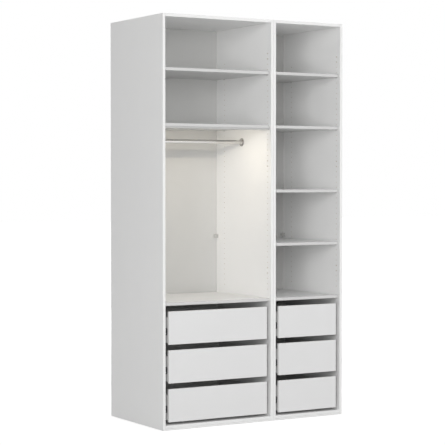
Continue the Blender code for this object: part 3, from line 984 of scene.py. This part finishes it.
def make_socket(hand, inward):
    """A round cup that holds one end of the rail, and the places of its two screws."""
    name = f"rail_socket_{hand}"
    low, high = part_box(name)
    radius = (high.z - low.z) / 2
    reach = high.x - low.x
    soft = SOCKET_ROUNDING
    part = SOCKET_ROUND_MIDDLE
    profile = [
        (0.0, 0.0),
        (0.0, radius),
        (SOCKET_PLATE - soft, radius),
        (SOCKET_PLATE - part, radius - part),
        (SOCKET_PLATE, radius - soft),
        (SOCKET_PLATE, SOCKET_COLLAR + soft),
        (SOCKET_PLATE + part, SOCKET_COLLAR + part),
        (SOCKET_PLATE + soft, SOCKET_COLLAR),
        (reach - soft, SOCKET_COLLAR),
        (reach - part, SOCKET_COLLAR - part),
        (reach, SOCKET_COLLAR - soft),
        (reach, SOCKET_BORE),
        (SOCKET_PLATE, SOCKET_BORE),
        (SOCKET_PLATE, 0.0),
    ]
    wall = low.x if inward > 0 else high.x
    centre = Vector((wall, (low.y + high.y) / 2, (low.z + high.z) / 2))
    cup = move(turned(profile, ROUND_STEPS, (inward, 0.0, 0.0)), centre)
    add(f"{name}_cup", cup, SOCKET_METAL, CARCASS, "rail_chrome", name)
    face = centre + Vector((inward * SOCKET_PLATE, 0.0, 0.0))
    up = Vector((0.0, 0.0, SOCKET_SCREW_CIRCLE))
    return [(face + up, (inward, 0.0, 0.0)), (face - up, (inward, 0.0, 0.0))]


def make_light_bar():
    """The light bar: a lacquered profile, two end caps and a frosted diffuser that faces back."""
    low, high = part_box("light_strip")
    depth = high.y - low.y
    height = high.z - low.z
    half = BAR_WALL / 2

    def point_at(u, v, along):
        return Vector((along, low.y + u, high.z - v))

    path = [
        (depth - half, BAR_REAR_LIP - half),
        (depth - half, half),
        (half, half),
        (half, height - half),
        (BAR_FLOOR, height - half),
    ]
    shell = sheet_outline(path, BAR_WALL, BAR_BEND)
    start = low.x + BAR_CAP
    end = high.x - BAR_CAP
    profile = drawn_bar(shell, point_at, start, end)
    add("light_strip_profile", profile, BAR_LACQUER, CARCASS, "light_diffuser", "light_strip")

    slope = Vector((depth - BAR_FLOOR, -(height - BAR_REAR_LIP))).normalized()
    inside = Vector((slope.y, -slope.x)) * DIFFUSER_THICKNESS
    floor_edge = Vector((BAR_FLOOR, height)) + slope * DIFFUSER_EDGE
    rear_edge = Vector((depth, BAR_REAR_LIP)) - slope * DIFFUSER_EDGE
    slab = [floor_edge, rear_edge, rear_edge + inside, floor_edge + inside]
    lens = drawn_bar(slab, point_at, start, end)
    add("light_diffuser_lens", lens, DIFFUSER, CARCASS, "light_diffuser")

    pentagon = [
        (0.0, 0.0),
        (depth, 0.0),
        (depth, BAR_REAR_LIP),
        (BAR_FLOOR, height),
        (0.0, height),
    ]
    pentagon = round_path(pentagon, BAR_CAP_ROUNDING, CORNER_STEPS, closed=True)
    caps = drawn_bar(pentagon, point_at, low.x, start)
    merge(caps, drawn_bar(pentagon, point_at, end, high.x))
    add("light_strip_end_caps", caps, CLIP_PLASTIC, CARCASS, "light_diffuser")


# Drawers and runners

def make_drawer(unit, level):
    """A drawer that slides as one body: front, folded box, bottom, steel rails and fixings."""
    body = f"{unit}_{level}_drawer"
    low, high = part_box(f"{body}_front")
    banded = [LEFT, RIGHT, UNDER, OVER]
    front = board(f"{body}_front_board", low, high, banded, FRONT_FOIL, FRONT_BAND)
    sheet_low, sheet_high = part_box(f"{body}_bottom")
    groove = with_play(sheet_low, sheet_high)
    cut_block(front, *groove)
    enter(smooth(front), body, "drawer_front_white", f"{body}_front")

    box_low, box_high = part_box(f"{body}_box")
    folded = [
        (low.x, box_low.y),
        (low.x, box_high.y),
        (high.x, box_high.y),
        (high.x, box_low.y),
        (high.x - DRAWER_WALL, box_low.y),
        (high.x - DRAWER_WALL, box_high.y - DRAWER_WALL),
        (low.x + DRAWER_WALL, box_high.y - DRAWER_WALL),
        (low.x + DRAWER_WALL, box_low.y),
    ]
    walls = drawn_bar(folded, lambda u, v, along: Vector((u, v, along)), box_low.z, box_high.z)
    bmesh.ops.recalc_face_normals(walls, faces=walls.faces[:])
    bmesh.ops.bevel(
        walls, geom=walls.edges[:], offset=DRAWER_ROUNDING, segments=2, affect="EDGES"
    )
    box = show(f"{body}_box_walls", walls, BOX_FOIL)
    cut_block(box, *groove)
    enter(smooth(box), body, "drawer_box_white", f"{body}_box")

    sheet = rounded_block(sheet_low, sheet_high, SHEET_ROUNDING, 1)
    add(f"{body}_bottom_sheet", sheet, BOTTOM_FOIL, body, "drawer_box_white", f"{body}_bottom")
    make_drawer_rails(body, low.x, high.x, box_low, box_high, runner_height(unit, level))


def runner_height(unit, level):
    """Height of a runner's middle."""
    low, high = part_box(f"{unit}_{level}_runner_left")
    return (low.z + high.z) / 2


def slide_outline(channel_depth, channel_height):
    """Section of a drawer's rail, from the box's face: its hooks run behind the channel's lips."""
    near = SLIDE_CLEARANCE + CHANNEL_WALL + SLIDE_CLEARANCE
    far = SLIDE_CLEARANCE + channel_depth - CHANNEL_WALL - SLIDE_CLEARANCE
    tip = channel_height / 2 - CHANNEL_WALL - SLIDE_CLEARANCE
    neck = channel_height / 2 - CHANNEL_WALL - CHANNEL_LIP - SLIDE_CLEARANCE
    inner = neck - CHANNEL_WALL
    lower = [
        (0.0, -neck),
        (near, -neck),
        (near, -tip),
        (far, -tip),
        (far, -inner),
        (CHANNEL_WALL, -inner),
    ]
    upper = [(across, -height) for across, height in reversed(lower)]
    return round_path(lower + upper, SLIDE_ROUNDING, CORNER_STEPS, closed=True)


def make_drawer_rails(body, left, right, box_low, box_high, height):
    """The two steel rails of a drawer, with their caps, screws and lugs, and the box's covers."""
    runner_low, runner_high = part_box(body.replace("_drawer", "_runner_left"))
    depth = runner_high.x - runner_low.x - FOOT_DEPTH
    outline = slide_outline(depth, runner_high.z - runner_low.z)
    start = box_low.y + SLIDE_END_SPACE
    end = box_high.y - SLIDE_END_SPACE
    rails = bmesh.new()
    caps = bmesh.new()
    screws = []
    lugs = []
    covers = []
    for face, outward in ((left, -1.0), (right, 1.0)):

        def point_at(u, v, along, face=face, outward=outward):
            return Vector((face + outward * u, along, height + v))

        merge(rails, drawn_bar(outline, point_at, start, end))
        # The black caps in front of the rails paint the shade of the runner's slot.
        merge(caps, drawn_bar(outline, point_at, box_low.y + SLIDE_CAP_SPACE, start))
        facing = (outward, 0.0, 0.0)
        for along in (start + SLIDE_SCREW_FROM_END, (start + end) / 2, end - SLIDE_SCREW_FROM_END):
            screws.append((point_at(CHANNEL_WALL, 0.0, along), facing))
        from_end = SLIDE_SINK + STOP_LENGTH / 2
        for along in (end - from_end, start + from_end):
            lugs.append((point_at(CHANNEL_WALL, 0.0, along), facing))
        for cover_height in COVER_HEIGHTS:
            place = (face, box_low.y + COVER_FROM_FRONT, box_low.z + cover_height)
            covers.append((place, facing))
    add(f"{body}_rails", rails, RUNNER_STEEL, body, "runner_steel")
    add(f"{body}_rail_caps", caps, BLACK_PLASTIC_AND_SLOT_SHADE, body, "clip_plastic")
    enter(set_of(f"{body}_rail_screws", SCREW, screws, SCREW_STEEL, math.tau), body, "runner_steel")
    enter(set_of(f"{body}_stop_lugs", STOP_LUG, lugs, BLACK_PLASTIC_AND_SLOT_SHADE), body, "clip_plastic")
    enter(set_of(f"{body}_front_covers", COVER, covers, CLIP_PLASTIC), body, "clip_plastic")


def make_runner(unit, level, hand, inward):
    """The carcass half of a runner, and the places of its feet, stop and screws."""
    name = f"{unit}_{level}_runner_{hand}"
    low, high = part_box(name)
    wall = low.x if inward > 0 else high.x
    depth = high.x - low.x - FOOT_DEPTH
    web = wall + inward * FOOT_DEPTH
    height = (low.z + high.z) / 2
    half = (high.z - low.z) / 2
    skin = CHANNEL_WALL / 2
    lip = half - CHANNEL_WALL - CHANNEL_LIP
    path = [
        (depth - skin, -lip),
        (depth - skin, -half + skin),
        (skin, -half + skin),
        (skin, half - skin),
        (depth - skin, half - skin),
        (depth - skin, lip),
    ]

    def point_at(u, v, along):
        return Vector((web + inward * u, along, height + v))

    outline = sheet_outline(path, CHANNEL_WALL, CHANNEL_BEND)
    channel = show(f"{name}_channel", drawn_bar(outline, point_at, low.y, high.y), RUNNER_STEEL)
    foot_starts = (low.y + FOOT_END_SPACE, high.y - FOOT_END_SPACE - FOOT_LENGTH)
    holes_start = foot_starts[0] + FOOT_LENGTH + HOLE_PITCH
    holes = math.floor((foot_starts[1] - HOLE_PITCH - holes_start) / (2 * HOLE_PITCH)) + 1
    drill(
        channel,
        point_at(0.0, 0.0, holes_start),
        holes,
        (0.0, 2 * HOLE_PITCH, 0.0),
        1,
        (0.0, 0.0, 0.0),
        CHANNEL_HOLE_RADIUS,
        CHANNEL_HOLE_DEPTH,
        ALONG_X,
        RUNNER_STEEL,
    )
    enter(smooth(channel), CARCASS, "runner_steel", name)
    facing = (inward, 0.0, 0.0)
    feet = []
    screws = []
    for start in foot_starts:
        middle = start + FOOT_LENGTH / 2
        feet.append(((wall, middle, height), facing))
        for step in (-0.5, 0.5):
            along = middle + step * FOOT_SCREW_SPACING
            screws.append((point_at(CHANNEL_WALL, 0.0, along), facing))
    box_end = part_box(f"{unit}_{level}_drawer_box")[1].y - SLIDE_END_SPACE - SLIDE_SINK
    stop_rear = box_end - STOP_LENGTH - DRAWER_TRAVEL - SEAM
    stop = (point_at(CHANNEL_WALL, 0.0, stop_rear - STOP_LENGTH / 2), facing)
    return feet, screws, stop


# Studio

def seen_rays(tree):
    """One for rays that show the background: from the camera, a reflection or through glass."""
    rays = node(tree, "ShaderNodeLightPath").outputs
    seen = maths(tree, "MAXIMUM", rays["Is Camera Ray"], rays["Is Glossy Ray"])
    return maths(tree, "MAXIMUM", seen, rays["Is Transmission Ray"])


def make_floor():
    """A white floor that keeps the shadow, and reads as white where nothing shades it."""
    material, tree, shader = new_material("studio floor")
    place = node(tree, "ShaderNodeTexCoord").outputs["Object"]
    drift = signal(tree, "ShaderNodeTexNoise", {"Vector": place, "Scale": FLOOR_PATCHES})
    tones = {"Value": drift, "To Min": FLOOR_TONES[0], "To Max": FLOOR_TONES[1]}
    tone = signal(tree, "ShaderNodeMapRange", tones)
    tree.links.new(tone, shader.inputs["Base Color"])
    shader.inputs["Roughness"].default_value = FLOOR_ROUGHNESS
    shader.inputs["Specular IOR Level"].default_value = 0.0
    distance = node(tree, "ShaderNodeVectorMath", {0: place}, operation="LENGTH").outputs["Value"]
    fade = {
        "Value": distance,
        "From Min": FLOOR_GLOW_DISTANCES[0],
        "From Max": FLOOR_GLOW_DISTANCES[1],
        "To Min": FLOOR_GLOW[0],
        "To Max": FLOOR_GLOW[1],
    }
    strength = signal(tree, "ShaderNodeMapRange", fade)
    glow = signal(tree, "ShaderNodeEmission", {"Color": WHITE, "Strength": strength})
    plain = shader.outputs[0]
    lifted = signal(tree, "ShaderNodeAddShader", {0: plain, 1: glow})
    mix = signal(tree, "ShaderNodeMixShader", {0: seen_rays(tree), 1: plain, 2: lifted})
    tree.links.new(mix, tree.nodes["Material Output"].inputs["Surface"])
    bm = bmesh.new()
    bmesh.ops.create_grid(bm, x_segments=1, y_segments=1, size=FLOOR_REACH)
    floor = show("studio_floor", move(bm, (0.0, 0.0, -FLOOR_DROP)), material)


def make_world(strength):
    """An even white surround, which shows as pure white behind the object."""
    world = bpy.data.worlds.new("studio")
    bpy.context.scene.world = world
    world.use_nodes = True
    tree = world.node_tree
    background = tree.nodes["Background"]
    background.inputs["Color"].default_value = WHITE
    background.inputs["Strength"].default_value = strength
    white = signal(tree, "ShaderNodeBackground", {"Color": WHITE, "Strength": 1.0})
    either = {0: seen_rays(tree), 1: background.outputs[0], 2: white}
    mix = signal(tree, "ShaderNodeMixShader", either)
    tree.links.new(mix, tree.nodes["World Output"].inputs["Surface"])


def make_lamp(name, place, aim, size, watts, colour=(1.0, 1.0, 1.0), spread=math.pi):
    """A soft rectangular lamp at a place, turned towards a point."""
    data = bpy.data.lights.new(name, "AREA")
    data.shape = "RECTANGLE"
    data.size, data.size_y = size
    data.energy = watts
    data.color = colour
    data.spread = spread
    lamp = bpy.data.objects.new(name, data)
    bpy.context.scene.collection.objects.link(lamp)
    lamp.location = place
    lamp.rotation_euler = (Vector(aim) - Vector(place)).to_track_quat("-Z", "Y").to_euler()
    lamp.visible_camera = False
    lamp.visible_glossy = False


def lamp_place(around, rise):
    """Where a lamp stands, from its angle towards the left and its rise above the aim."""
    level = LAMP_DISTANCE * math.cos(rise)
    height = LAMP_AIM[2] + LAMP_DISTANCE * math.sin(rise)
    return (-level * math.sin(around), -level * math.cos(around), height)


def make_bar_lamp():
    """The light that leaves the bar's diffuser, down and towards the back."""
    low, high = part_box("light_strip")
    middle = (low + high) / 2
    place = Vector((middle.x, high.y - BAR_LAMP_DEPTH / 2, low.z - BAR_LAMP_DROP))
    aim = place + Vector(BAR_FACING)
    size = (high.x - low.x - 2 * BAR_LAMP_INSET, BAR_LAMP_DEPTH)
    make_lamp("bar_lamp", place, aim, size, BAR_WATTS, BAR_COLOUR)


def make_camera():
    """The photograph's view: slightly above the middle, from the left."""
    data = bpy.data.cameras.new("camera")
    data.lens = CAMERA_LENS
    data.sensor_width = CAMERA_FILM
    data.sensor_height = CAMERA_FILM
    data.sensor_fit = "HORIZONTAL"
    camera = bpy.data.objects.new("camera", data)
    bpy.context.scene.collection.objects.link(camera)
    camera.location = CAMERA_PLACE
    camera.rotation_euler = (math.pi / 2 + CAMERA_TILT, 0.0, -CAMERA_HEADING)
    bpy.context.scene.camera = camera


# The wardrobe, piece by piece

make_camera()
SCREW = screw_fitting()
PIN = pin_fitting()
CAM = cam_fitting()
FOOT = block_fitting("foot_fitting", FOOT_LENGTH, FOOT_HEIGHT, FOOT_DEPTH, FOOT_ROUNDING)
STOP = block_fitting("stop_fitting", STOP_LENGTH, STOP_HEIGHT, STOP_REACH, STOP_ROUNDING)
STOP_LUG = block_fitting("lug_fitting", STOP_LENGTH, STOP_HEIGHT, LUG_REACH, STOP_ROUNDING)
COVER = cover_fitting()
PATTERNS = (SCREW, PIN, CAM, FOOT, STOP, STOP_LUG, COVER)

pins = []
cams = []
feet = []
stops = []
screws = []
for unit in UNITS:
    cams += make_top_and_bottom(unit)
    make_plinth(unit)
    make_back(unit)
    for hand, inward in HANDS:
        make_side(unit, hand, inward)
        screws.append(make_clip(unit, hand, inward))
    for level in SHELVES[unit]:
        pins += make_shelf(unit, level)
    for level in LEVELS:
        make_drawer(unit, level)
        for hand, inward in HANDS:
            runner_feet, runner_screws, stop = make_runner(unit, level, hand, inward)
            feet += runner_feet
            screws += runner_screws
            stops.append(stop)
make_rail()
make_light_bar()
for hand, inward in HANDS:
    screws += make_socket(hand, inward)
enter(set_of("shelf_pins", PIN, pins, SCREW_STEEL), CARCASS, "runner_steel")
enter(set_of("cam_fittings", CAM, cams, SCREW_STEEL, math.tau), CARCASS, "runner_steel")
enter(set_of("runner_feet", FOOT, feet, SPACER_PLASTIC), CARCASS, "clip_plastic")
enter(set_of("runner_stops", STOP, stops, BLACK_PLASTIC_AND_SLOT_SHADE), CARCASS, "clip_plastic")
enter(set_of("carcass_screws", SCREW, screws, SCREW_STEEL, math.tau), CARCASS, "runner_steel")
for pattern in PATTERNS:
    bpy.data.objects.remove(pattern)

make_floor()
make_world(WORLD_LIGHT)
for name, around, rise, watts in LAMPS:
    make_lamp(name, lamp_place(around, rise), LAMP_AIM, LAMP_SIZE, watts)
make_lamp(
    "top_lamp", TOP_LAMP_PLACE, LAMP_AIM, TOP_LAMP_SIZE, TOP_LAMP_WATTS, spread=TOP_LAMP_SPREAD
)
make_bar_lamp()
bpy.context.scene.view_settings.view_transform = "Standard"
